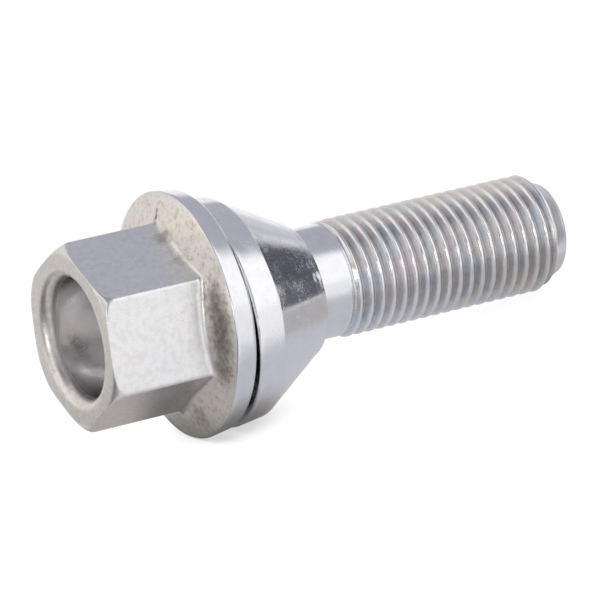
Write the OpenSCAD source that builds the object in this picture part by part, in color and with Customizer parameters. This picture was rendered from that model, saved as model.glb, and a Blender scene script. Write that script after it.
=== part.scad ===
// Wheel bolt with a loose taper ring, standing on its head.
// Lengths are in millimetres. The origin is the centre of the head's end face
// and +Z runs along the bolt to the thread's tip.

/* [Thread] */
// Nominal diameter of the metric thread
thread_d = 14; // [10:0.5:20]
// Pitch of the thread
thread_pitch = 1.5; // [1.25:0.25:1.5]
// Length of full thread, from the run-out to the tip's chamfer
thread_len = 26.5; // [15:0.5:45]
// How far the rolled crests lie under the nominal diameter
crest_allowance = 0.1; // [0.04:0.02:0.24]

/* [Tip] */
// Length of the chamfer that ends the thread
tip_chamfer_len = 0.9; // [0.5:0.1:1.2]
// Length of the smooth nose past the chamfer
nose_len = 1.6; // [1:0.1:3]
// How much the nose narrows on each side
nose_taper = 0.55; // [0.3:0.05:1]
// Radius that rounds the nose's end
nose_round = 0.4; // [0.2:0.1:0.6]

/* [Shank] */
// Shank left past the ring, on which the ring can slide, run-out included
ring_travel = 5.2; // [2:0.2:20]
// Length of the thread's run-out cone
runout_len = 0.8; // [0.5:0.1:1.5]
// How far the shank lies under the thread's crests
shank_step = 0.3; // [0.2:0.05:0.6]
// Radius where the shank meets the flange
shank_fillet = 0.6; // [0.3:0.1:0.8]

/* [Head] */
// Width across the hexagon's flats
hex_af = 19; // [18:0.5:22]
// Height of the head, from its end face to the flange's front edge
head_h = 13.4; // [11:0.2:18]
// How much the hexagon's long edges are rounded off, measured on the corner
hex_corner_cut = 0.15; // [0.1:0.05:0.4]
// Width of the flat ring round the recess's mouth, on which the bolt stands
end_face_w = 1.7; // [1:0.1:1.9]
// How far the rounding of the head's end runs along the corners
end_round_len = 2.1; // [1.4:0.1:3]

/* [Flange] */
// How far the flange's rim stands past the ring
flange_margin = 1.1; // [0.4:0.1:4]
// Thickness of the flange at its rim
flange_t = 2.8; // [2.2:0.2:5]
// How far the flange's front face rises from the hexagon's flats to the rim
flange_rise = 1.6; // [0.8:0.1:2.2]
// How much the rim narrows from its front edge to its back
flange_rim_draft = 0.3; // [0:0.05:0.5]
// Radius of the rim's back edge
flange_back_round = 0.7; // [0.3:0.1:1]
// Radius of the rim's front edge
flange_front_round = 0.2; // [0.1:0.05:0.4]

/* [Recess in the head] */
// Wall between the recess and the hexagon's flats
recess_wall = 2.5; // [2.2:0.1:3.4]
// Solid metal between the recess's floor and the flange's front edge
recess_floor = 4.4; // [3:0.2:7]
// Depth of the recess's rounded mouth
mouth_depth = 0.7; // [0.5:0.1:1.6]
// How far the mouth widens the recess on each side
mouth_flare = 0.6; // [0.4:0.1:1.2]
// Radius between the recess's wall and its floor
recess_floor_round = 2.2; // [1:0.2:3]

/* [Taper ring] */
// Wall of the ring at the small end of its cone
ring_nose_wall = 0.7; // [0.6:0.1:3]
// Length of the ring's near-straight band
ring_band_len = 3.5; // [2:0.25:5]
// How much the band narrows on each side
ring_band_draft = 0.3; // [0.1:0.1:0.5]
// Whole length of the ring
ring_len = 12.1; // [9:0.1:16]
// Full angle of the ring's cone
ring_cone_angle = 60; // [50:1:90]
// Radius of the ring's two ends
ring_end_round = 0.4; // [0.2:0.1:0.5]
// Chamfer at the back of the ring's bore, clear of the shank's fillet
ring_bore_chamfer = 0.8; // [0.8:0.1:1.2]

/* [Clearances] */
// Gap between the ring's bore and the shank, on each side
ring_bore_gap = 0.7; // [0.4:0.05:0.9]
// Gap between the flange's back face and the ring
ring_seat_gap = 0.3; // [0.2:0.05:0.6]

/* [Hidden] */

// Facets of the round surfaces and steps of each small rounding
$fn = 96;
arc_steps = 6;

// The crests stand a little above the shank, which the thread is rolled up from
crest_r = thread_d / 2 - crest_allowance / 2;
shank_r = crest_r - shank_step;
chamfer_r = thread_d / 2 - 0.6134 * thread_pitch + 0.05;
nose_r = chamfer_r - nose_taper;

flange_back_z = head_h + flange_t;
flange_foot_z = head_h - flange_rise;
flange_foot_r = hex_af / 2 - 0.5;
hex_corner_r = hex_af / 2 / cos(30);
trimmed_corner_r = hex_corner_r - hex_corner_cut;

recess_r = hex_af / 2 - recess_wall;
recess_depth = head_h - recess_floor;
end_face_r = recess_r + mouth_flare + end_face_w;

// The ring grows outwards from its bore, which clears the shank
ring_bore_r = shank_r + ring_bore_gap;
ring_nose_r = ring_bore_r + ring_nose_wall;
ring_edge_r = ring_nose_r + (ring_len - ring_band_len) * tan(ring_cone_angle / 2);
ring_back_r = ring_edge_r + ring_band_draft;
ring_back_z = flange_back_z + ring_seat_gap;
ring_edge_z = ring_back_z + ring_band_len;
ring_nose_z = ring_back_z + ring_len;

flange_r = ring_back_r + flange_margin;
rim_back_r = flange_r - flange_rim_draft;
thread_z = ring_nose_z + ring_travel;
chamfer_z = thread_z + thread_len;
nose_z = chamfer_z + tip_chamfer_len;
tip_z = nose_z + nose_len;

// Points of an arc about a centre, from one angle to another
function arc(centre, radius, from, to) = [
    for (i = [0:arc_steps])
        let (a = from + (to - from) * i / arc_steps)
        centre + radius * [cos(a), sin(a)]
];

// Points of a quarter ellipse, used where a rounding is longer than it is wide
function quarter(centre, reach, from, to) = [
    for (i = [0:arc_steps])
        let (a = from + (to - from) * i / arc_steps)
        [centre.x + reach.x * cos(a), centre.y + reach.y * sin(a)]
];

// Half section of the flange, shank, run-out, thread cylinder and tip
function stem_section() = concat(
    [[0, flange_foot_z]],
    [[flange_foot_r, flange_foot_z]],
    [[flange_r - flange_front_round, head_h]],
    [[flange_r, head_h + flange_front_round]],
    arc([rim_back_r - flange_back_round, flange_back_z - flange_back_round], flange_back_round, 0, 90),
    arc([shank_r + shank_fillet, flange_back_z + shank_fillet], shank_fillet, 270, 180),
    [[shank_r, thread_z - runout_len]],
    [[crest_r, thread_z]],
    [[crest_r, chamfer_z]],
    [[chamfer_r, nose_z]],
    arc([nose_r - nose_round, tip_z - nose_round], nose_round, 0, 90),
    [[0, tip_z]]
);

// Turned outline that rounds the hexagon's corners and the head's end
function head_outline() = concat(
    [[0, 0]],
    quarter([end_face_r, end_round_len], [trimmed_corner_r - end_face_r, end_round_len], 270, 360),
    [[trimmed_corner_r, head_h]],
    [[0, head_h]]
);

// Half section of the recess, open past the end face
function recess_section() = concat(
    [[0, -1]],
    [[recess_r + mouth_flare, -1]],
    quarter([recess_r + mouth_flare, mouth_depth], [mouth_flare, mouth_depth], 270, 180),
    arc([recess_r - recess_floor_round, recess_depth - recess_floor_round], recess_floor_round, 0, 90),
    [[0, recess_depth]]
);

// Half section of the ring: chamfered bore, rounded ends, band and cone
function ring_section() = concat(
    [[ring_bore_r, ring_back_z + ring_bore_chamfer]],
    [[ring_bore_r + ring_bore_chamfer, ring_back_z]],
    arc([ring_back_r - ring_end_round, ring_back_z + ring_end_round], ring_end_round, 270, 360),
    [[ring_edge_r, ring_edge_z]],
    arc([ring_nose_r - ring_end_round, ring_nose_z - ring_end_round], ring_end_round, 90 - ring_cone_angle, 90),
    [[ring_bore_r, ring_nose_z]]
);

// Hexagon head with its corners and its end rounded
module hex_head() {
    intersection() {
        cylinder(h = head_h, r = hex_corner_r, $fn = 6);
        rotate_extrude() polygon(head_outline());
    }
}

// The one-piece forging: head, flange, shank and thread cylinder
module bolt() {
    color("lightsteelblue")
    difference() {
        union() {
            hex_head();
            rotate_extrude() polygon(stem_section());
        }
        rotate_extrude() polygon(recess_section());
    }
}

// The loose ring that turns on the shank and seats in the wheel
module taper_ring() {
    color("gainsboro")
    rotate_extrude() polygon(ring_section());
}

bolt();
taper_ring();
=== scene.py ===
"""Wheel bolt with a loose taper ring, dressed and lit as it lies in a small studio.

The bolt is one cold forging: a hexagon head with a blind recess, a flange with a
rough front and a turned rim, a bright shank, a rolled thread and a short nose. The
ring behind the flange is turned and bright. Sizes in the classes are millimetres,
and each finished mesh is brought to metres once, at the origin, in the row's frame.
"""

from __future__ import annotations

import logging
import math
from collections.abc import Iterable
from dataclasses import dataclass
from enum import Enum

import bmesh
import bpy
from mathutils import Matrix, Vector

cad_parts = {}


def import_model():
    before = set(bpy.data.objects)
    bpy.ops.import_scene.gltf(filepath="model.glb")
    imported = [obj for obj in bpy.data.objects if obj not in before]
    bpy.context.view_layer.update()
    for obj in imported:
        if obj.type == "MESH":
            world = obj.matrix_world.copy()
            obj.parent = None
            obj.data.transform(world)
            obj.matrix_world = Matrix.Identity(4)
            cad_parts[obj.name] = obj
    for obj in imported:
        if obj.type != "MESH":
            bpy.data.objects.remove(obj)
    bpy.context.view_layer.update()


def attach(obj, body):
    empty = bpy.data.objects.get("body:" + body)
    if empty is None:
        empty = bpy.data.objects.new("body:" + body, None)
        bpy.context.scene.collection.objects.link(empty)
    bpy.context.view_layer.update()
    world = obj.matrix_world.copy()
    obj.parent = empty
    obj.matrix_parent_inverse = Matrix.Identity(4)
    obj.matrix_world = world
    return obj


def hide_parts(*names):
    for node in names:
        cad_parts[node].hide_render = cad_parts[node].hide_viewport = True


LOG = logging.getLogger("wheel_bolt")

MM = 0.001
# Steps of one turn on the lathe, and the sectors that the turn is spun in
LATHE_STEPS = 216
SECTORS = 12
# Points that lie closer than this are one, in millimetres
WELD_MM = 1e-4

# The bolt's axis towards the tip, and the two directions across it: towards the camera
# and up in the picture.
ALONG = Vector((0.0, 0.0, 1.0))
FACING = Vector((-0.22, -0.9755, 0.0))
UPWARD = Vector((-0.9755, 0.22, 0.0))

Point = tuple[float, float]
Place = tuple[float, float, float]
Colour = tuple[float, float, float]
Span = tuple[float, float]
Material = bpy.types.Material
Mesh = bmesh.types.BMesh
NodeTree = bpy.types.NodeTree
Object = bpy.types.Object
Socket = bpy.types.NodeSocket

WHITE: Colour = (1.0, 1.0, 1.0)
BLACK: Colour = (0.0, 0.0, 0.0)


class Zone(Enum):
    """The bolt's finishes, in the order of its material slots."""

    FORGED = 0
    RECESS = 1
    TURNED = 2
    ROLLED = 3
    NOSE = 4


def smooth_step(low: float, high: float, value: float) -> float:
    """How far a value lies between low and high, from 0 to 1, with soft ends."""
    share = min(max((value - low) / (high - low), 0.0), 1.0)
    return share * share * (3.0 - 2.0 * share)


class Outline:
    """An outline for the lathe, drawn from point to point as radius and height."""

    def __init__(self, radius: float, height: float) -> None:
        """Starts at the first point."""
        self.points: list[Point] = [(radius, height)]

    def run(self, radius: float, height: float, steps: int) -> None:
        """Adds a straight run.

        Args:
            radius: Radius at its end.
            height: Height at its end.
            steps: Number of equal steps.
        """
        across, up = self.points[-1]
        self.points += [
            (across + (radius - across) * i / steps, up + (height - up) * i / steps)
            for i in range(1, steps + 1)
        ]

    def turn(self, reach: Point, start: float, end: float, steps: int) -> None:
        """Adds an arc, or a quarter ellipse where the two reaches differ.

        Args:
            reach: Half sizes across and along the axis.
            start: First angle in degrees, counted from outwards towards the tip.
            end: Last angle in degrees.
            steps: Number of equal steps.
        """
        angles = [math.radians(start + (end - start) * i / steps) for i in range(steps + 1)]
        ways = [(reach[0] * math.cos(a), reach[1] * math.sin(a)) for a in angles]
        across, up = (last - way for last, way in zip(self.points[-1], ways[0]))
        self.points += [(across + way[0], up + way[1]) for way in ways[1:]]


def lathe(mesh: Mesh, outline: Iterable[Point], pitch: float = 0.0) -> None:
    """Turns an open outline about the Z axis, as a lathe or, with a pitch, as a screw.

    One sector is spun and then repeated round the axis, and its seams are welded.

    Args:
        mesh: The mesh that the turned skin is added to.
        outline: Points as radius and height, from one end to the other.
        pitch: How far the skin climbs in its one turn.
    """
    sector = bmesh.new()
    verts = [sector.verts.new((radius, 0.0, height)) for radius, height in outline]
    edges = [sector.edges.new(pair) for pair in zip(verts, verts[1:])]
    bmesh.ops.spin(
        sector, geom=verts + edges, cent=(0.0, 0.0, 0.0), axis=(0.0, 0.0, 1.0),
        dvec=(0.0, 0.0, pitch / LATHE_STEPS), angle=math.tau / SECTORS,
        steps=LATHE_STEPS // SECTORS, use_merge=False,
    )
    data = bpy.data.meshes.new("sector")
    sector.to_mesh(data)
    sector.free()
    turn = Matrix.Rotation(math.tau / SECTORS, 4, "Z")
    turn.translation.z = pitch / SECTORS
    for _ in range(SECTORS):
        mesh.from_mesh(data)
        data.transform(turn)
    bpy.data.meshes.remove(data)
    bmesh.ops.remove_doubles(mesh, verts=mesh.verts, dist=WELD_MM)


@dataclass(frozen=True)
class NickOrShade:
    """A small dent or raised burr, a worn spot, or a patch of painted shade.

    Attributes:
        place: Its middle in millimetres.
        reach: Its radius.
        push: How far its middle moves, away from the axis if positive.
        dark: How dark and dull it is, from 0 to 1, whether worn or painted shade.
    """

    place: Place
    reach: float
    push: float
    dark: float = 0.0


def strike(mesh: Mesh, nicks_and_shade: Iterable[NickOrShade]) -> None:
    """Dents the skin and marks it as worn, or darkens it with painted shade.

    Args:
        mesh: The mesh in millimetres.
        nicks_and_shade: The marks, some of them patches of painted shade.
    """
    wear_and_shade = mesh.verts.layers.float.get("wear_and_shade") or mesh.verts.layers.float.new("wear_and_shade")
    for mark in nicks_and_shade:
        middle = Vector(mark.place)
        for vert in mesh.verts:
            away = (vert.co - middle).length / mark.reach
            if away < 1.0:
                share = (1.0 - away * away) ** 2
                out = Vector((vert.co.x, vert.co.y, 0.0)).normalized()
                vert.co += out * mark.push * share
                vert[wear_and_shade] = min(1.0, vert[wear_and_shade] + mark.dark * share)


def pose_of(right: Vector, up: Vector, back: Vector, place: Vector) -> Matrix:
    """A pose from where its X, Y and Z axes point and where its origin lies."""
    turn = Matrix((right, up, back)).transposed().to_4x4()
    return Matrix.Translation(place) @ turn


def link_mesh(mesh: Mesh, name: str) -> Object:
    """Brings a mesh drawn in millimetres to metres and makes its object at the origin.

    Args:
        mesh: The mesh in millimetres. It is freed.
        name: Name of the object.

    Returns:
        The linked object.
    """
    bmesh.ops.scale(mesh, vec=(MM, MM, MM), verts=mesh.verts)
    data = bpy.data.meshes.new(name)
    mesh.to_mesh(data)
    mesh.free()
    made = bpy.data.objects.new(name, data)
    bpy.context.scene.collection.objects.link(made)
    return made


def finish_mesh(mesh: Mesh, name: str) -> Object:
    """Closes a piece's mesh and makes its object.

    Args:
        mesh: The mesh in millimetres. It is freed.
        name: Name of the piece.

    Returns:
        The linked object with smooth faces.
    """
    bmesh.ops.remove_doubles(mesh, verts=mesh.verts, dist=WELD_MM)
    bmesh.ops.dissolve_degenerate(mesh, dist=WELD_MM, edges=mesh.edges)
    bmesh.ops.recalc_face_normals(mesh, faces=mesh.faces)
    for face in mesh.faces:
        face.smooth = True
    piece = link_mesh(mesh, name)
    LOG.info("%s: %d faces", name, len(piece.data.polygons))
    return piece


class NodeSheet:
    """Adds nodes to a tree and joins them, so that a material reads as a few steps."""

    def __init__(self, tree: NodeTree) -> None:
        """Empties the tree and keeps it."""
        tree.nodes.clear()
        self.tree = tree

    def add(
        self, kind: str, inputs: dict[str | int, object] | None = None, **settings: object
    ) -> bpy.types.Node:
        """Adds a node with its settings, and joins or sets its inputs.

        Args:
            kind: The node's type, without the ShaderNode that most of them start with.
            inputs: Value, colour, or source socket or node, for each input by name or number.
            **settings: Attributes of the node.

        Returns:
            The new node.
        """
        node = self.tree.nodes.new(kind if kind.startswith("Node") else "ShaderNode" + kind)
        for key, value in settings.items():
            setattr(node, key, value)
        for key, value in (inputs or {}).items():
            socket = node.inputs[key]
            if isinstance(value, bpy.types.Node):
                value = value.outputs[0]
            if isinstance(value, Socket):
                self.tree.links.new(value, socket)
            else:
                socket.default_value = (*value, 1.0) if socket.type == "RGBA" else value
        return node

    def math(self, operation: str, *values: object) -> Socket:
        """A Math node's result for up to three numbers or source sockets."""
        return self.add("Math", dict(enumerate(values)), operation=operation).outputs[0]

    def times(self, *values: object) -> Socket:
        """The product of two numbers or source sockets."""
        return self.math("MULTIPLY", *values)

    def measure(self, operation: str, *values: object) -> Socket:
        """A Vector Math node's number, such as a LENGTH, a DISTANCE or a DOT_PRODUCT."""
        node = self.add("VectorMath", dict(enumerate(values)), operation=operation)
        return node.outputs["Value"]

    def ways(self, kind: str, *axes: Vector) -> list[Socket]:
        """How far Object or Generated coordinates lie along each axis."""
        place = self.add("TexCoord").outputs[kind]
        return [self.measure("DOT_PRODUCT", place, tuple(axis)) for axis in axes]

    def rise(
        self, value: Socket, low: float, high: float, first: float = 0.0, last: float = 1.0
    ) -> Socket:
        """A smooth step from the first number, up to low, to the last one, from high on."""
        inputs = {0: value, 1: low, 2: high, 3: first, 4: last}
        return self.add("MapRange", inputs, interpolation_type="SMOOTHSTEP").outputs[0]

    def noise(self, vector: object, scale: object, detail: float, rough: float = 0.5) -> Socket:
        """Fractal noise from 0 to 1, with a number of finer layers and the share of each."""
        inputs = {"Vector": vector, "Scale": scale, "Detail": detail, "Roughness": rough}
        return self.add("TexNoise", inputs).outputs["Fac"]

    def blend(self, share: object, first: object, second: object, mode: str = "MIX") -> Socket:
        """Two colours, plain or from a socket, mixed by the share of the second one."""
        inputs = {0: share, 6: first, 7: second}
        return self.add("Mix", inputs, data_type="RGBA", blend_type=mode).outputs[2]


class EffectGroups:
    """Shader groups that several finishes share, each built once."""

    def __init__(self) -> None:
        """Builds the groups."""
        self.forge_skin = self._forge_skin()
        self.lathe_lines = self._lathe_lines()
        self.handling = self._handling()
        self.plating_tint = self._plating_tint()

    @staticmethod
    def _start(name: str, outs: Iterable[str], **ins: object) -> tuple[NodeSheet, list[Socket]]:
        """Makes an empty group with its sockets.

        Args:
            name: Name of the group.
            outs: Name of each output, a colour if it is Color and else a number.
            **ins: Default of each input after the first, which is Vector.

        Returns:
            The group's sheet and the sockets of its inputs.
        """
        tree = bpy.data.node_groups.new(name, "ShaderNodeTree")
        add_socket = tree.interface.new_socket
        add_socket("Vector", in_out="INPUT", socket_type="NodeSocketVector")
        for key, default in ins.items():
            kind = "Float" if isinstance(default, float) else "Color"
            socket = add_socket(key, in_out="INPUT", socket_type="NodeSocket" + kind)
            socket.default_value = default
        for key in outs:
            kind = "Color" if key == "Color" else "Float"
            add_socket(key, in_out="OUTPUT", socket_type="NodeSocket" + kind)
        sheet = NodeSheet(tree)
        return sheet, list(sheet.add("NodeGroupInput").outputs)

    def _forge_skin(self) -> NodeTree:
        """Skin of forged and plated steel: soft mottle, small pits and their height.

        Returns:
            The group, with Mottle, Pits and Height outputs.
        """
        outs = ("Mottle", "Pits", "Height")
        sheet, (vector, grain, *_) = self._start("forge_skin", outs, Grain=700.0)
        pit_grain, patch_grain, pit_edge, patch_limit = 2.2, 0.9, (0.12, 0.42), 0.6
        mottle_height, pit_depth = 0.6, 0.7
        mottle = sheet.noise(vector, grain, 5.0, 0.6)
        cells = sheet.add("TexVoronoi", {"Vector": vector, "Scale": sheet.times(grain, pit_grain)})
        sparse = sheet.noise(vector, sheet.times(grain, patch_grain), 2.0)
        chosen = sheet.math("GREATER_THAN", sparse, patch_limit)
        pit = sheet.times(sheet.rise(cells.outputs["Distance"], *pit_edge, 1.0, 0.0), chosen)
        raised, sunk = sheet.times(mottle, mottle_height), sheet.times(pit, pit_depth)
        height = sheet.math("SUBTRACT", raised, sunk)
        sheet.add("NodeGroupOutput", {0: mottle, 1: pit, 2: height})
        return sheet.tree

    def _lathe_lines(self) -> NodeTree:
        """Fine lines that a tool leaves round the axis, and those drawn along it.

        Returns:
            The group, with Round and Along outputs.
        """
        sheet, (vector, *_) = self._start("tool_lines", ("Round", "Along"))
        # Metres of noise for a radian round the axis, and how far drawn lines are stretched
        density, lap, stretch = 6000.0, 0.00012, (1.0, 1.0, 0.07)
        split = sheet.add("SeparateXYZ", {0: vector}).outputs
        across = sheet.add("CombineXYZ", {0: split[0], 1: split[1]})
        angle = sheet.times(sheet.math("ARCTAN2", split[1], split[0]), lap)
        radius = sheet.measure("LENGTH", across)
        turned = sheet.add("CombineXYZ", {0: radius, 1: split[2], 2: angle})
        drawn = sheet.add("VectorMath", {0: vector, 1: stretch}, operation="MULTIPLY")
        lines = [sheet.noise(turned, density, 3.0, 0.65), sheet.noise(drawn, density, 3.0, 0.6)]
        sheet.add("NodeGroupOutput", dict(enumerate(lines)))
        return sheet.tree

    def _handling(self) -> NodeTree:
        """Smudges and specks from handling.

        Returns:
            The group, with Smudge and Specks outputs.
        """
        sheet, (vector, amount, *_) = self._start("handling", ("Smudge", "Specks"), Amount=0.5)
        cloud_scale, speck_scale = 260.0, 6400.0
        cloud = sheet.noise(vector, cloud_scale, 4.0, 0.62)
        smudge = sheet.times(sheet.rise(cloud, 0.45, 0.72), amount)
        fine = sheet.noise(vector, speck_scale, 2.0, 0.5)
        specks = sheet.times(sheet.rise(fine, 0.5, 0.66), sheet.rise(cloud, 0.34, 0.56))
        sheet.add("NodeGroupOutput", {0: smudge, 1: sheet.times(specks, amount)})
        return sheet.tree

    def _plating_tint(self) -> NodeTree:
        """The faint blue, straw and pink clouds of clear passivated zinc.

        Returns:
            The group, with a Color output.
        """
        sheet, (vector, scale, base, amount, *_) = self._start(
            "plating_tint", ("Color",), Scale=400.0, Base=(0.7, 0.7, 0.72, 1.0), Amount=0.5
        )
        ramp = sheet.add("ValToRGB", {0: sheet.noise(vector, scale, 2.0, 0.5)})
        stops = (
            (0.34, (0.60, 0.80, 1.00)), (0.44, (0.97, 0.98, 1.00)),
            (0.54, (1.00, 0.96, 0.84)), (0.64, (1.00, 0.86, 0.92)),
        )
        elements = ramp.color_ramp.elements
        while len(elements) < len(stops):
            elements.new(0.5)
        for element, (place, colour) in zip(elements, stops):
            element.position = place
            element.color = (*colour, 1.0)
        tint = sheet.blend(amount, base, ramp.outputs[0], "MULTIPLY")
        sheet.add("NodeGroupOutput", {0: tint})
        return sheet.tree


# Mottle at which the skin starts to be dull and is wholly so, the same for the forged
# face's dark clouds, and wear and painted shade, with mottle, at which they start and are full
DULL_SPAN: Span = (0.40, 0.72)
CLOUD_SPAN: Span = (0.46, 0.72)
WEAR_AND_SHADE_SPAN: Span = (0.66, 1.25)
# How far clouds and pits darken the forged face, how much rougher it, the worn places and
# the painted shade are, and how much deeper its skin is
CLOUD_SHARE, PIT_SHARE, CRUDE_ROUGH, CRUDE_RELIEF = 0.55, 0.6, 0.12, 3.0


@dataclass(frozen=True)
class ZincFinish:
    """One finish of the zinc plated steel.

    Attributes:
        name: Name of its material.
        colour: The plated metal's colour.
        shade: The colour in the skin's dull places.
        mottle: Share of the dull places.
        tint: Share of the plating's faint clouds.
        tint_scale: Scale of those clouds.
        roughness: Roughness where the skin is clean.
        spread: How much rougher the mottle makes it.
        grain: Scale of the skin's mottle.
        skin_depth: Bump depth of the skin, in metres.
        round_depth: Bump depth of the lines round the axis.
        drawn_depth: Bump depth of the lines along the axis.
        smudge: Amount of smudges and specks.
        smudge_spread: How much rougher they make it.
        crude_colour: Colour of the flange's untouched forged face.
        crude_shade: Its colour in pits and dark places.
        wear_and_shade_colour: Colour of worn places and of painted shade.
        wear_and_shade_grain: How much the mottle breaks up the worn places and the painted shade.
    """

    name: str
    colour: Colour
    shade: Colour
    mottle: float = 0.3
    tint: float = 0.1
    tint_scale: float = 400.0
    roughness: float = 0.2
    spread: float = 0.1
    grain: float = 900.0
    skin_depth: float = 0.00001
    round_depth: float = 0.0
    drawn_depth: float = 0.0
    smudge: float = 0.3
    smudge_spread: float = 0.15
    crude_colour: Colour = (0.87, 0.845, 0.80)
    crude_shade: Colour = (0.46, 0.43, 0.40)
    wear_and_shade_colour: Colour = (0.22, 0.20, 0.19)
    wear_and_shade_grain: float = 0.4

    def material(self, groups: EffectGroups) -> Material:
        """Makes the material.

        Args:
            groups: The shared shader groups.

        Returns:
            The material, which reads Object coordinates and the attributes wear_and_shade and
            crude.
        """
        made = bpy.data.materials.new(self.name)
        made.use_nodes = True
        sheet = NodeSheet(made.node_tree)
        place = sheet.add("TexCoord").outputs["Object"]

        def effect(group: NodeTree, **amounts: object) -> bpy.types.NodeOutputs:
            """Adds a shared group and gives its outputs."""
            return sheet.add("Group", {"Vector": place, **amounts}, node_tree=group).outputs

        skin = effect(groups.forge_skin, Grain=self.grain)
        lines = effect(groups.lathe_lines)
        marks = effect(groups.handling, Amount=self.smudge)
        crude = sheet.add("Attribute", attribute_name="crude").outputs["Fac"]
        wear_and_shade = sheet.add("Attribute", attribute_name="wear_and_shade").outputs["Fac"]
        mottle = skin["Mottle"]

        dull = sheet.times(sheet.rise(mottle, *DULL_SPAN), self.mottle)
        clean = sheet.blend(dull, self.colour, self.shade)
        clouds = sheet.times(sheet.rise(mottle, *CLOUD_SPAN), CLOUD_SHARE)
        pitted = sheet.math("MAXIMUM", clouds, sheet.times(skin["Pits"], PIT_SHARE))
        rough_face = sheet.blend(pitted, self.crude_colour, self.crude_shade)
        base = sheet.blend(crude, clean, rough_face)
        plated = effect(groups.plating_tint, Scale=self.tint_scale, Base=base, Amount=self.tint)
        # Wear and painted shade darken the colour where the attribute and the mottle rise
        wear_and_shade_level = sheet.math("MULTIPLY_ADD", mottle, self.wear_and_shade_grain, wear_and_shade)
        wear_and_shade_share = sheet.rise(wear_and_shade_level, *WEAR_AND_SHADE_SPAN)
        colour = sheet.blend(wear_and_shade_share, plated["Color"], self.wear_and_shade_colour)

        smoothest = self.roughness - 0.5 * self.spread
        rough = sheet.math("MULTIPLY_ADD", mottle, self.spread, smoothest)
        soiled = sheet.math("MAXIMUM", marks["Smudge"], marks["Specks"])
        rough = sheet.math("MULTIPLY_ADD", soiled, self.smudge_spread, rough)
        for share in (crude, wear_and_shade_share):
            rough = sheet.math("MULTIPLY_ADD", share, CRUDE_ROUGH, rough)

        relief = sheet.math("MULTIPLY_ADD", crude, CRUDE_RELIEF, 1.0)
        height = sheet.times(skin["Height"], relief)
        bump = sheet.add("Bump", {"Height": height, "Distance": self.skin_depth})
        for way, depth in (("Round", self.round_depth), ("Along", self.drawn_depth)):
            if depth > 0.0:
                inputs = {"Height": lines[way], "Distance": depth, "Normal": bump}
                bump = sheet.add("Bump", inputs)
        looks = {"Base Color": colour, "Roughness": rough, "Normal": bump, "Metallic": 1.0}
        sheet.add("OutputMaterial", {"Surface": sheet.add("BsdfPrincipled", looks)})
        return made


FORGED_ZINC = ZincFinish(
    "forged_zinc", (0.84, 0.83, 0.84), (0.66, 0.65, 0.65),
    mottle=0.5, tint=0.06, roughness=0.28, grain=1500.0, skin_depth=0.000016,
    drawn_depth=0.000010, smudge=0.7,
)
RECESS_ZINC = ZincFinish(
    "recess_zinc", (0.82, 0.81, 0.82), (0.60, 0.58, 0.58),
    tint=0.05, roughness=0.21, skin_depth=0.000012,
)
TURNED_ZINC = ZincFinish(
    "turned_zinc", (0.82, 0.82, 0.85), (0.70, 0.70, 0.72),
    tint=0.06, roughness=0.17, spread=0.08, skin_depth=0.000005, round_depth=0.000003,
    smudge=0.5,
)
ROLLED_ZINC = ZincFinish(
    "rolled_zinc", (0.90, 0.90, 0.92), (0.74, 0.73, 0.74),
    tint=0.30, tint_scale=380.0, roughness=0.18, grain=1200.0, skin_depth=0.000006,
    round_depth=0.000003, crude_colour=(0.67, 0.665, 0.68), crude_shade=(0.50, 0.485, 0.49),
    wear_and_shade_colour=(0.28, 0.27, 0.28), wear_and_shade_grain=0.25,
)
NOSE_ZINC = ZincFinish(
    "nose_zinc", (0.88, 0.87, 0.91), (0.76, 0.75, 0.78),
    tint=0.08, roughness=0.42, skin_depth=0.000008,
)
RING_ZINC = ZincFinish(
    "ring_zinc", (0.84, 0.84, 0.87), (0.72, 0.72, 0.75),
    mottle=0.25, tint=0.05, roughness=0.12, spread=0.06, skin_depth=0.000004,
    round_depth=0.000002, smudge=0.9, smudge_spread=0.29,
)


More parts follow.
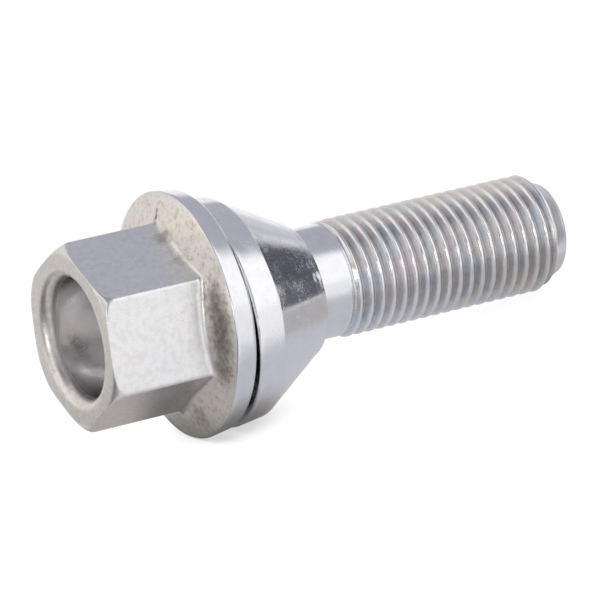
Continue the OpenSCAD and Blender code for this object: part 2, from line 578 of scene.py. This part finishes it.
FORGING_NICKS_AND_SHADE = (
    # Nicks, burrs and worn spots of the hexagon
    NickOrShade((-8.70, -3.94, 3.56), 0.55, -0.10, 0.5), NickOrShade((-9.03, -3.37, 5.55), 0.40, -0.05, 0.2),
    NickOrShade((-5.75, -9.25, 0.9), 0.6, -0.05, 0.25), NickOrShade((-5.45, -9.45, 2), 0.5, 0, 0.25),
    NickOrShade((0.41, -9.5, 0.97), 0.5, -0.03, 0.6), NickOrShade((2.01, -9.5, 0.98), 0.5, -0.03, 0.6),
    NickOrShade((0.05, -9.5, 0.4), 0.6, -0.03, 0.4), NickOrShade((-3.52, -9.5, 12), 0.45, 0.16),
    NickOrShade((7.66, -5.73, 10.77), 0.5, 0.14), NickOrShade((8.2, -4.79, 10.54), 0.35, 0.12),
    # A nick in the flange's rim, and painted shade on the flange round the foot of the hexagon
    NickOrShade((-9.32, -10.26, 13.3), 0.45, -0.12, 0.45), NickOrShade((-5.2, -11, 12.6), 4.4, 0, 0.44),
    NickOrShade((-3, -11.9, 12.8), 4.8, 0, 0.45), NickOrShade((-0.6, -12.1, 12.8), 4.8, 0, 0.45),
    NickOrShade((1.8, -12, 12.8), 4.8, 0, 0.45), NickOrShade((4.2, -11.4, 12.8), 4.6, 0, 0.44),
    NickOrShade((6.6, -10.8, 12.9), 4.2, 0, 0.42), NickOrShade((11.4, -4.2, 12.9), 5.4, 0, 0.74),
    # The crease that runs out from the top corner, darkened with painted shade, and painted shade
    # on the top facet
    NickOrShade((-11.2, 0, 12.4), 0.7, 0.3, 0.8), NickOrShade((-11.8, 0.05, 12.7), 0.6, 0, 1),
    NickOrShade((-12.4, 0.1, 12.9), 0.5, 0, 1), NickOrShade((-9.5, -2.6, 11.9), 3.4, 0, 0.78),
    NickOrShade((-7.6, -6.2, 11.8), 3.2, 0, 0.68),
    # A painted dark reflection on the recess's wall
    NickOrShade((0.4, 7, 3.3), 3, 0, 0.30), NickOrShade((1.6, 6.8, 3.6), 3, 0, 0.33),
    NickOrShade((2.8, 6.4, 4), 3, 0, 0.33), NickOrShade((3.9, 5.8, 4.4), 2.6, 0, 0.28),
    # Dents of the crests, and the chamfer's dark spot
    NickOrShade((-2.54, -6.46, 51.78), 0.35, 0.10), NickOrShade((-2.82, -6.35, 57.93), 0.35, -0.10),
    NickOrShade((-5.35, -4.43, 59.89), 0.4, 0.08), NickOrShade((1.68, -6.74, 60.25), 0.4, -0.10, 0.5),
    NickOrShade((-2.28, -6.56, 36.41), 0.35, 0.10), NickOrShade((-0.84, -6.89, 33.35), 0.3, 0.06),
    NickOrShade((2.21, -6.59, 37.63), 0.4, 0.10),
)


@dataclass
class BoltForging:
    """The one-piece forging, from the recess in its head to the nose at its tip.

    All fields are millimetres, measured from the head's end face unless they are radii,
    apart from the power, which sets how sharp the hexagon's edges are, the crowding of
    points towards its corners, in radians, and the shares named crude, wear, painted
    shade or darkening.
    """

    hex_flat: float = 9.6
    edge_power: float = 110.0
    head_height: float = 13.4
    flange_radius: float = 14.41
    flange_thickness: float = 2.8
    flange_slope: float = 0.309
    rim_draft: float = 0.3
    front_edge_round: float = 0.2
    back_edge_round: float = 0.7
    recess_radius: float = 7.0
    recess_depth: float = 9.0
    floor_round: float = 2.2
    mouth_flare: float = 1.2
    mouth_depth: float = 1.7
    end_face_radius: float = 9.7
    end_round: float = 1.55
    base_fillet: float = 0.75
    shank_radius: float = 6.65
    shank_fillet: float = 0.6
    thread_start: float = 33.8
    runout: float = 1.1
    thread_end: float = 60.3
    crest_radius: float = 6.95
    root_radius: float = 6.08
    pitch: float = 1.5
    chamfer_length: float = 0.9
    nose_radius: float = 6.1
    nose_taper: float = 0.55
    nose_round: float = 0.4
    length: float = 62.8
    crowding: float = 0.085
    mouth_crude: float = 0.6
    end_crude: float = 0.25
    edge_wear: float = 0.62
    edge_wear_width: float = 0.14
    root_painted_shade: float = 0.80
    chamfer_darkening: float = 0.40
    nicks_and_shade: tuple[NickOrShade, ...] = FORGING_NICKS_AND_SHADE

    @property
    def corner_radius(self) -> float:
        """Radius of the hexagon's corners before they are softened."""
        return self.hex_flat / math.cos(math.radians(30.0))

    @property
    def low_cut(self) -> float:
        """Height at which the shank's skin meets the thread's."""
        return self.thread_start - self.runout

    @property
    def high_cut(self) -> float:
        """Height at which the thread's skin meets the nose's."""
        return self.thread_end + self.chamfer_length

    def flange_front(self, radius: float) -> float:
        """Height of the flange's conical front face at a radius."""
        edge = self.flange_radius - self.front_edge_round
        return self.head_height - self.flange_slope * (edge - radius)

    def hexagon(self, angle: float) -> float:
        """Radius of the softened hexagon in one direction.

        Args:
            angle: Direction in radians. Corners lie at 0 and every 60 degrees.

        Returns:
            The radius in millimetres.
        """
        total = 0.0
        for side in range(6):
            facing = math.cos(angle - math.radians(30.0 + 60.0 * side))
            total += (max(facing, 0.0) / self.hex_flat) ** self.edge_power
        return total ** (-1.0 / self.edge_power)

    def head_outline(self) -> list[Point]:
        """Lathe outline from the recess's centre over the head and the flange to the shank.

        Returns:
            Points as radius and height. The hexagon is pressed into it afterwards.
        """
        wall, corner, fillet = self.recess_radius, self.corner_radius, self.base_fillet
        edge, soft = self.front_edge_round, self.back_edge_round
        back = self.head_height + self.flange_thickness
        line = Outline(0.0, self.recess_depth)
        line.run(wall - self.floor_round, self.recess_depth, 5)
        line.turn((self.floor_round, self.floor_round), 90.0, 0.0, 8)
        line.run(wall, self.mouth_depth, 8)
        line.turn((self.mouth_flare, self.mouth_depth), 180.0, 270.0, 8)
        line.run(self.end_face_radius, 0.0, 5)
        line.turn((corner - self.end_face_radius, self.end_round), 270.0, 360.0, 14)
        line.run(corner, self.flange_front(corner + fillet) - fillet, 34)
        line.turn((fillet, fillet), 180.0, 90.0, 5)
        line.run(self.flange_radius - edge, self.head_height, 12)
        line.turn((edge, edge), 270.0, 360.0, 4)
        line.run(self.flange_radius - self.rim_draft, back - soft, 5)
        line.turn((soft, soft), 0.0, 90.0, 7)
        line.run(self.shank_radius + self.shank_fillet, back, 5)
        line.turn((self.shank_fillet, self.shank_fillet), 270.0, 180.0, 5)
        line.run(self.shank_radius, self.low_cut, 24)
        return line.points

    def nose_outline(self) -> list[Point]:
        """Lathe outline of the nose, from the thread's chamfer to the tip's centre.

        Returns:
            Points as radius and height.
        """
        soft = self.nose_round
        line = Outline(self.nose_radius, self.high_cut)
        line.run(self.nose_radius - self.nose_taper, self.length - soft, 6)
        line.turn((soft, soft), 0.0, 90.0, 6)
        line.run(0.0, self.length, 6)
        return line.points

    def thread_outline(self) -> list[Point]:
        """Section of the rolled thread along the bolt, one pitch longer than it shows.

        Returns:
            Points as radius and height, with round crests and roots and 60 degree flanks.
        """
        crest, root, pitch = self.crest_radius, self.root_radius, self.pitch
        tooth = [
            (0.0, crest), (0.06, crest - 0.006), (0.11, crest - 0.026), (0.16, crest - 0.072),
            (0.35, crest - 0.41), (0.55, root + 0.09), (0.64, root + 0.02), (0.75, root),
        ]
        tooth += [(pitch - along, radius) for along, radius in reversed(tooth[1:-1])]
        first = self.low_cut - pitch
        turns = math.ceil((self.high_cut - self.low_cut) / pitch) + 2
        starts = [first + turn * pitch for turn in range(turns)]
        return [(radius, start + along) for start in starts for along, radius in tooth]

    def press_hexagon(self, mesh: Mesh) -> None:
        """Moves the turned skin of the head inwards onto the hexagon, as a die does.

        The points crowd towards the corners first, so that each edge keeps its radius.

        Args:
            mesh: The turned head, in millimetres.
        """
        power, corner = self.edge_power, self.corner_radius
        wear_and_shade = mesh.verts.layers.float.new("wear_and_shade")
        crude = mesh.verts.layers.float.new("crude")
        base = self.flange_front(corner + self.base_fillet) - self.base_fillet
        mouth = self.recess_radius + self.mouth_flare
        near_end, near_flange = 0.3 * self.head_height, 8.0
        for vert in mesh.verts:
            radius, height = math.hypot(vert.co.x, vert.co.y), vert.co.z
            if height < self.mouth_depth and radius < mouth:
                lip = smooth_step(self.mouth_depth, 0.3 * self.mouth_depth, height)
                vert[crude] = self.mouth_crude * lip
            if height > self.head_height - 0.02 or radius < mouth - 0.01:
                continue
            # 1 on the hexagon, and less and less towards the flange's round rim
            share = (self.flange_radius - radius) / (self.flange_radius - corner)
            share = min(max(share, 0.0), 1.0)
            angle = math.atan2(vert.co.y, vert.co.x)
            angle -= share * self.crowding * math.sin(6.0 * angle)
            hexagon = self.hexagon(angle)
            if radius <= corner + WELD_MM:
                wanted = (hexagon**-power + radius**-power - corner**-power) ** (-1.0 / power)
                if height > self.end_round:
                    drop = self.flange_front(hexagon) - self.flange_front(corner)
                    height += drop * (height - self.end_round) / (base - self.end_round)
            else:
                wanted = radius * (1.0 + (hexagon / corner - 1.0) * share)
                height += self.flange_front(wanted) - self.flange_front(radius)
            vert.co = (wanted * math.cos(angle), wanted * math.sin(angle), height)
            if radius > self.end_face_radius and height < near_end:
                off = (radius - hexagon) / self.edge_wear_width
                vert[wear_and_shade] = self.edge_wear * math.exp(-(off**2))
            on_flange = smooth_step(hexagon - 0.1, hexagon + 0.9, wanted)
            vert[crude] = on_flange if height > near_flange else 0.0
            if height < self.end_round:
                vert[crude] = self.end_crude * smooth_step(-0.05, 0.12, hexagon - radius)

    def cut_thread_ends(self, mesh: Mesh) -> None:
        """Fades the thread into the shank and chamfers it at the tip.

        Args:
            mesh: The screwed skin alone, in millimetres.
        """
        slope = (self.crest_radius - self.nose_radius) / self.chamfer_length
        wear_and_shade = mesh.verts.layers.float.new("wear_and_shade")
        crude = mesh.verts.layers.float.new("crude")
        for vert in mesh.verts:
            radius = math.hypot(vert.co.x, vert.co.y)
            height = min(max(vert.co.z, self.low_cut), self.high_cut)
            grown = smooth_step(self.low_cut, self.thread_start, height)
            shaped = self.shank_radius + (radius - self.shank_radius) * grown
            shaped = min(shaped, self.crest_radius - slope * (height - self.thread_end))
            if height >= self.high_cut - WELD_MM:
                shaped = self.nose_radius
            # Painted shade darkens the thread's roots, and the band at the chamfer is made darker
            low = 1.0 - smooth_step(self.root_radius + 0.05, self.root_radius + 0.45, radius)
            band = smooth_step(self.thread_end - 0.1, self.thread_end + 0.5, height)
            vert[wear_and_shade] = max(self.root_painted_shade * low * grown, self.chamfer_darkening * band)
            vert[crude] = grown * smooth_step(0.04, 0.18, self.crest_radius - radius)
            vert.co.x *= shaped / radius
            vert.co.y *= shaped / radius
            vert.co.z = height

    def zone(self, centre: Vector) -> Zone:
        """Which finish a face has.

        Args:
            centre: The face's centre in millimetres.

        Returns:
            The zone.
        """
        # Small margins keep each zone's first row of faces on its own side
        radius = math.hypot(centre.x, centre.y)
        if centre.z > self.low_cut:
            return Zone.NOSE if centre.z > self.high_cut else Zone.ROLLED
        if centre.z > self.head_height + 0.03 or radius > self.flange_radius - 0.12:
            return Zone.TURNED
        inside = radius < self.recess_radius + 0.02 and centre.z > self.mouth_depth - 0.1
        return Zone.RECESS if inside else Zone.FORGED

    def build(self, groups: EffectGroups) -> Object:
        """Makes the forging's mesh with its five finishes.

        Args:
            groups: The shared shader groups.

        Returns:
            The finished object.
        """
        mesh = bmesh.new()
        lathe(mesh, self.thread_outline(), self.pitch)
        self.cut_thread_ends(mesh)
        whole = bmesh.new()
        lathe(whole, self.head_outline())
        self.press_hexagon(whole)
        lathe(whole, self.nose_outline())
        part = bpy.data.meshes.new("head_and_nose")
        whole.to_mesh(part)
        whole.free()
        mesh.from_mesh(part)
        bpy.data.meshes.remove(part)
        bmesh.ops.remove_doubles(mesh, verts=mesh.verts, dist=WELD_MM)
        strike(mesh, self.nicks_and_shade)
        for face in mesh.faces:
            face.material_index = self.zone(face.calc_center_median()).value
        piece = finish_mesh(mesh, "bolt_forging")
        for finish in (FORGED_ZINC, RECESS_ZINC, TURNED_ZINC, ROLLED_ZINC, NOSE_ZINC):
            piece.data.materials.append(finish.material(groups))
        return piece


@dataclass
class TaperRing:
    """The loose ring, turned from bar, with its band, its 60 degree cone and its bore.

    All fields are millimetres and degrees. Heights count from the head's end face.
    """

    back: float = 16.5
    bore_radius: float = 7.48
    bore_chamfer: float = 0.8
    back_radius: float = 13.31
    edge_radius: float = 13.01
    band_length: float = 3.5
    length: float = 12.1
    nose_radius: float = 8.05
    end_round: float = 0.4
    half_cone: float = 30.0
    hang: float = 2.0
    hang_way: float = -8.0
    sag: float = 0.5
    slide: float = 0.15
    nicks_and_shade: tuple[NickOrShade, ...] = (
        NickOrShade((-5.58, -8.42, 24.87), 0.5, -0.05, 0.15),
        NickOrShade((-4.15, -7.53, 27.38), 1.0, -0.12, 0.3),
        NickOrShade((-2.7, -7.95, 27.75), 0.8, -0.10, 0.3),
    )

    def outline(self) -> list[Point]:
        """Closed lathe outline of the ring.

        Returns:
            Points as radius and height, the first of them again at the end.
        """
        soft, cone = self.end_round, math.radians(self.half_cone)
        nose = self.back + self.length
        edge = self.back + self.band_length
        line = Outline(self.bore_radius + self.bore_chamfer, self.back)
        line.run(self.back_radius - soft, self.back, 4)
        line.turn((soft, soft), 270.0, 360.0, 5)
        # The band's edge is broken by two short slopes
        line.run(self.edge_radius, edge - 0.15, 6)
        line.run(self.edge_radius - 0.02, edge - 0.07, 1)
        line.run(self.edge_radius - 0.06, edge + 0.02, 1)
        line.run(self.nose_radius + 0.12, nose - soft - 0.2, 36)
        tangent = (1.0 - math.cos(cone), 1.0 - math.sin(cone))
        line.run(self.nose_radius - soft * tangent[0], nose - soft * tangent[1], 1)
        line.turn((soft, soft), self.half_cone, 90.0, 5)
        line.run(self.bore_radius, nose, 3)
        line.run(self.bore_radius, self.back + self.bore_chamfer, 8)
        return line.points + line.points[:1]

    def build(self, groups: EffectGroups) -> Object:
        """Makes the ring's mesh, hanging a little aslant in its clearance.

        Args:
            groups: The shared shader groups.

        Returns:
            The finished object.
        """
        mesh = bmesh.new()
        lathe(mesh, self.outline())
        strike(mesh, self.nicks_and_shade)
        middle = Matrix.Translation((0.0, 0.0, self.back + 0.5 * self.length))
        way = Matrix.Rotation(math.radians(self.hang_way), 4, "Z")
        slant = way @ Matrix.Rotation(math.radians(-self.hang), 4, "Y") @ way.inverted()
        drop = Matrix.Translation((self.sag, 0.0, self.slide))
        pose = drop @ middle @ slant @ middle.inverted()
        bmesh.ops.transform(mesh, matrix=pose, verts=mesh.verts)
        piece = finish_mesh(mesh, "loose_taper_ring")
        piece.data.materials.append(RING_ZINC.material(groups))
        return piece


@dataclass(frozen=True)
class AirPatch:
    """A soft-edged patch of the room round the bolt, as reflections see it.

    Attributes:
        swing: From and to, in degrees round the bolt: 0 is the camera's side, 90 is up.
        polar: From and to, in degrees off the bolt's axis past its tip.
        soft: Width of the edges' fade, in degrees.
        tone: Its colour, where 1 is white.
    """

    swing: Span
    polar: Span
    soft: float
    tone: Colour

    def mask(self, sheet: NodeSheet, angles: Iterable[Socket]) -> Socket:
        """How far a direction lies inside the patch, from 0 to 1.

        Args:
            sheet: The world's node sheet.
            angles: The direction's swing and polar angle, in degrees.

        Returns:
            The mask.
        """
        sides = []
        for value, (low, high) in zip(angles, (self.swing, self.polar)):
            sides.append(sheet.rise(value, low - self.soft, low + self.soft))
            sides.append(sheet.rise(value, high - self.soft, high + self.soft, 1.0, 0.0))
        return sheet.times(sheet.times(*sides[:2]), sheet.times(*sides[2:]))


# Flags under the bolt and its flange are painted shadow: the floor's shade there, as reflections
# see it
@dataclass(frozen=True)
class Flag:
    """A grey flag on the floor, or stood past the bolt's tip, which only reflections see.

    Attributes:
        place: Its middle, in millimetres towards the camera, and along the bolt or up.
        size: Its width and length in the same two directions.
        level: Its grey, where 1 is white.
        tone: Its colour.
        softness: Share of its half size over which its edge fades.
    """

    place: Point
    size: Point
    level: float
    tone: Colour = (1.0, 0.97, 0.96)
    softness: float = 0.35

    def mask(self, sheet: NodeSheet, places: Iterable[Socket]) -> Socket:
        """How far a point lies inside the flag, from 0 to 1.

        Args:
            sheet: The material's node sheet.
            places: The point's two coordinates in metres.

        Returns:
            The mask.
        """
        mask: object = 1.0
        for place, middle, size in zip(places, self.place, self.size):
            off = sheet.math("ABSOLUTE", sheet.math("SUBTRACT", place, middle * MM))
            half = 0.5 * size * MM
            fade = sheet.rise(off, half * (1.0 - self.softness), half, 1.0, 0.0)
            mask = sheet.times(mask, fade)
        return mask


# The grey parts of the room, each of which covers those before it
ROOM_PATCHES = (
    AirPatch((-181, -100), (-10, 190), 12, (0.45, 0.43, 0.42)),
    AirPatch((-100, -52), (-10, 95), 8, (0.52, 0.51, 0.54)),
    AirPatch((-52, 47), (36, 90), 6, (1.18, 1.18, 1.19)),
    AirPatch((53, 142), (33, 94), 7, (0.45, 0.46, 0.52)),
    AirPatch((139, 154), (33, 50), 4, (0.66, 0.66, 0.72)),
    AirPatch((40, 181), (-10, 29), 4, (0.10, 0.10, 0.12)),
    AirPatch((-181, -120), (-10, 12), 4, (0.10, 0.10, 0.12)),
    AirPatch((84, 181), (96, 190), 8, (0.76, 0.73, 0.70)),
    AirPatch((84, 181), (130, 190), 8, (1.08, 1.03, 0.97)),
    AirPatch((18, 189), (153, 190), 6, (0.66, 0.64, 0.62)),
    AirPatch((-181, -150), (96, 158), 8, (0.72, 0.68, 0.65)),
    AirPatch((28, 84), (96, 128), 9, (0.13, 0.13, 0.16)),
    AirPatch((-150, 28), (98, 135), 9, (0.42, 0.41, 0.43)),
    AirPatch((-150, 18), (133, 190), 8, (0.08, 0.075, 0.08)),
    AirPatch((-20, 0), (137, 158), 4, (5, 4.9, 4.7)),
)
# The flags on the floor: under the bolt, past its tip, under its flange, far off and past
# its head. Those under the bolt and under its flange are painted shadow, the floor's shade
# there as reflections see it. Each of them covers those before it.
FLOOR_FLAGS_AND_SHADOW = (
    Flag((3, 30), (58, 100), 0.60, (0.96, 0.97, 1.04), 0.6),
    Flag((9, 56), (24, 32), 0.48, softness=0.4),
    Flag((-5, 9), (28, 42), 0.46, (1, 0.94, 0.90), 0.5),
    Flag((9.5, 92.5), (27, 45), 0.12, (0.92, 0.94, 1.12), 0.30),
    Flag((-4, 15.5), (28, 17), 0.17, softness=0.6),
    Flag((-300, -290), (590, 600), 0.42, (1, 0.96, 0.94), 0.09),
    Flag((-128, -50), (136, 120), 0.72, (1, 0.97, 0.94), 0.25),
    Flag((30, -56), (130, 96), 0.10, softness=0.2),
)


@dataclass
class Studio:
    """Camera, floor, flags with some painted shadow, screen and world.

    Lengths are millimetres and angles are degrees, in the row's frame. Glow and light
    are counted from white, which is 1, and dark is what a shadow takes off it.
    """

    aim: Place = (1.534, -0.352, 29.276)
    azimuth: float = -12.917
    elevation: float = -27.224
    roll: float = -76.633
    distance: float = 575.7
    focal_px: float = 5000.0
    floor_slope: float = 9.07
    floor_contact: Place = (14.25, 0.0, 15.5)
    floor_size: Point = (1800.0, 1800.0)
    flag_lift: float = 0.3
    picture_px: float = 600.0
    sensor_width: float = 36.0
    clip_m: Span = (0.01, 20.0)
    floor_grey: Colour = (0.90, 0.90, 0.90)
    floor_glow: float = 1.04
    floor_seen: float = 0.97
    floor_mirrored: float = 0.12
    shadow_reach: float = 4.5
    shadow_fade: float = 0.7
    shadow_dark: float = 0.40
    shadow_span: Span = (4.0, 12.0)
    shadow_rest: float = 0.12
    room_light: float = 1.1
    screen: Flag = Flag((5.0, 10.0), (34.0, 32.0), 0.10, (0.92, 0.94, 1.12), 0.3)
    screen_past: float = 100.0
    flags: tuple[Flag, ...] = FLOOR_FLAGS_AND_SHADOW
    patches: tuple[AirPatch, ...] = ROOM_PATCHES

    def place_camera(self) -> None:
        """Puts the camera where the photograph was taken from."""
        turn, rise, roll = map(math.radians, (self.azimuth, self.elevation, self.roll))
        level = Vector((math.sin(turn), -math.cos(turn), 0.0)) * math.cos(rise)
        back = level + ALONG * math.sin(rise)
        level_up = (ALONG - back * back.z).normalized()
        up = level_up * math.cos(roll) + level_up.cross(back) * math.sin(roll)
        eye = (Vector(self.aim) + back * self.distance) * MM
        data = bpy.data.cameras.new("camera")
        data.sensor_width = self.sensor_width
        data.lens = data.sensor_width * self.focal_px / self.picture_px
        data.clip_start, data.clip_end = self.clip_m
        camera = bpy.data.objects.new("camera", data)
        camera.matrix_world = pose_of(up.cross(back), up, back, eye)
        bpy.context.scene.collection.objects.link(camera)
        bpy.context.scene.camera = camera

    def floor_material(self) -> Material:
        """Pale floor that shows white where the camera sees it and keeps a soft shadow.

        Returns:
            The material, clear from below so that it hides nothing from other sides.
        """
        made = bpy.data.materials.new("pale_floor")
        made.use_nodes = True
        sheet = NodeSheet(made.node_tree)
        plain = sheet.add("BsdfDiffuse", {"Color": self.floor_grey})
        reach = {"Distance": self.shadow_reach * MM}
        near = sheet.add("AmbientOcclusion", reach).outputs["AO"]
        spot = tuple(Vector(self.floor_contact) * MM)
        place = sheet.add("TexCoord").outputs["Object"]
        away = sheet.measure("DISTANCE", place, spot)
        start, end = (radius * MM for radius in self.shadow_span)
        dark = sheet.times(
            sheet.rise(near, 0.0, self.shadow_fade, self.shadow_dark, 0.0),
            sheet.rise(away, start, end, 1.0, self.shadow_rest),
        )
        glow = sheet.math("SUBTRACT", self.floor_glow, dark)
        white = sheet.add("Emission", {"Strength": glow})
        path = sheet.add("LightPath").outputs
        mirrored = sheet.math("MAXIMUM", path["Is Glossy Ray"], path["Is Transmission Ray"])
        mirrored = sheet.times(mirrored, self.floor_mirrored)
        share = sheet.math("MULTIPLY_ADD", path["Is Camera Ray"], self.floor_seen, mirrored)
        seen = sheet.add("MixShader", {0: share, 1: plain, 2: white})
        clear = sheet.add("BsdfTransparent")
        side = sheet.add("NewGeometry").outputs["Backfacing"]
        both = sheet.add("MixShader", {0: side, 1: seen, 2: clear})
        sheet.add("OutputMaterial", {"Surface": both})
        return made

    def floor_pose(self, lift: float) -> Matrix:
        """Pose of a sheet under the flange's rim and the thread's tip.

        Args:
            lift: Height over the place where the bolt touches down, in millimetres.

        Returns:
            The pose, in millimetres.
        """
        slope = math.radians(self.floor_slope)
        up = Vector((-math.cos(slope), 0.0, -math.sin(slope)))
        level = Vector((0.0, 1.0, 0.0))
        return pose_of(level, up.cross(level), up, Vector(self.floor_contact) + up * lift)

    def screen_pose(self) -> Matrix:
        """Pose of the screen past the bolt's tip, square to the bolt, in millimetres."""
        place = FACING * self.screen.place[0] + UPWARD * self.screen.place[1]
        return pose_of(FACING, -UPWARD, -ALONG, place + ALONG * self.screen_past)

    @staticmethod
    def stage_board(
        name: str, size: Point, pose: Matrix, material: Material
    ) -> Object:
        """Makes a flat object of the studio.

        Args:
            name: Its name.
            size: Its two sides in millimetres.
            pose: Where it goes, in millimetres.
            material: What it is made of.

        Returns:
            The staged object.
        """
        mesh = bmesh.new()
        bmesh.ops.create_grid(mesh, x_segments=1, y_segments=1, size=0.5)
        bmesh.ops.scale(mesh, vec=(*size, 1.0), verts=mesh.verts)
        bmesh.ops.transform(mesh, matrix=pose, verts=mesh.verts)
        board = link_mesh(mesh, name)
        board.data.materials.append(material)
        return board

    @staticmethod
    def flag_material(name: str, flags: Iterable[Flag], second: Vector) -> Material:
        """Clear, but for grey flags, each of which covers those before it.

        Args:
            name: Its name.
            flags: The flags.
            second: The axis of their second measure. The first one's is FACING.

        Returns:
            The material.
        """
        made = bpy.data.materials.new(name)
        made.use_nodes = True
        sheet = NodeSheet(made.node_tree)
        places = sheet.ways("Object", FACING, second)
        glow: object = BLACK
        clear: object = WHITE
        for flag in flags:
            there = flag.mask(sheet, places)
            glow = sheet.blend(there, glow, tuple(flag.level * part for part in flag.tone))
            clear = sheet.blend(there, clear, BLACK)
        light = sheet.add("Emission", {"Color": glow, "Strength": 1.0})
        through = sheet.add("BsdfTransparent", {"Color": clear})
        both = sheet.add("AddShader", {0: light, 1: through})
        sheet.add("OutputMaterial", {"Surface": both})
        return made

    def reflected_air(self, sheet: NodeSheet) -> Socket:
        """White air with the soft grey patches that the studio's walls and flags leave.

        Args:
            sheet: The world's node sheet.

        Returns:
            The colour in each direction.
        """
        facing, up, along = sheet.ways("Generated", FACING, UPWARD, ALONG)
        turn = math.degrees(1.0)
        swing = sheet.times(sheet.math("ARCTAN2", up, facing), turn)
        polar = sheet.times(sheet.math("ARCCOSINE", along), turn)
        colour: object = WHITE
        for patch in self.patches:
            colour = sheet.blend(patch.mask(sheet, (swing, polar)), colour, patch.tone)
        return colour

    def light_world(self) -> None:
        """A pale room for diffuse light, and white where the camera and reflections look."""
        world = bpy.data.worlds.new("studio_air")
        world.use_nodes = True
        sheet = NodeSheet(world.node_tree)
        path = sheet.add("LightPath").outputs
        seen = sheet.math("MAXIMUM", path["Is Camera Ray"], path["Is Glossy Ray"])
        seen = sheet.math("MAXIMUM", seen, path["Is Transmission Ray"])
        room = sheet.add("Background", {"Color": WHITE, "Strength": self.room_light})
        air = sheet.blend(path["Is Camera Ray"], self.reflected_air(sheet), WHITE)
        white = sheet.add("Background", {"Color": air, "Strength": 1.0})
        both = sheet.add("MixShader", {0: seen, 1: room, 2: white})
        sheet.add("OutputWorld", {"Surface": both})
        bpy.context.scene.world = world

    def build(self) -> None:
        """Sets up everything round the bolt."""
        bpy.context.scene.view_settings.view_transform = "Standard"
        self.place_camera()
        self.stage_board("floor", self.floor_size, self.floor_pose(0.0), self.floor_material())
        # The flags under the bolt and under its flange are painted shadow, which only reflections
        # see
        flags_and_shadow = self.flag_material("grey_flags_and_painted_shadow", self.flags, ALONG)
        grey = self.flag_material("grey_screen", (self.screen,), UPWARD)
        lifted = self.floor_pose(self.flag_lift)
        for board in (
            self.stage_board("floor_flags_and_painted_shadow", self.floor_size, lifted, flags_and_shadow),
            self.stage_board("screen", self.screen.size, self.screen_pose(), grey),
        ):
            board.visible_camera = board.visible_diffuse = board.visible_shadow = False
        self.light_world()
        LOG.info("studio: %d flags, %d patches", len(self.flags), len(self.patches))


def main() -> None:
    """Builds the bolt, its ring and the studio, and keeps the two boxes, hidden."""
    logging.basicConfig(level=logging.INFO, format="%(message)s")
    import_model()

    groups = EffectGroups()
    forging = BoltForging().build(groups)
    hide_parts("bolt")
    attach(forging, "bolt")

    ring = TaperRing().build(groups)
    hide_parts("taper_ring")
    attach(ring, "taper_ring")

    Studio().build()


if __name__ == "__main__":
    main()
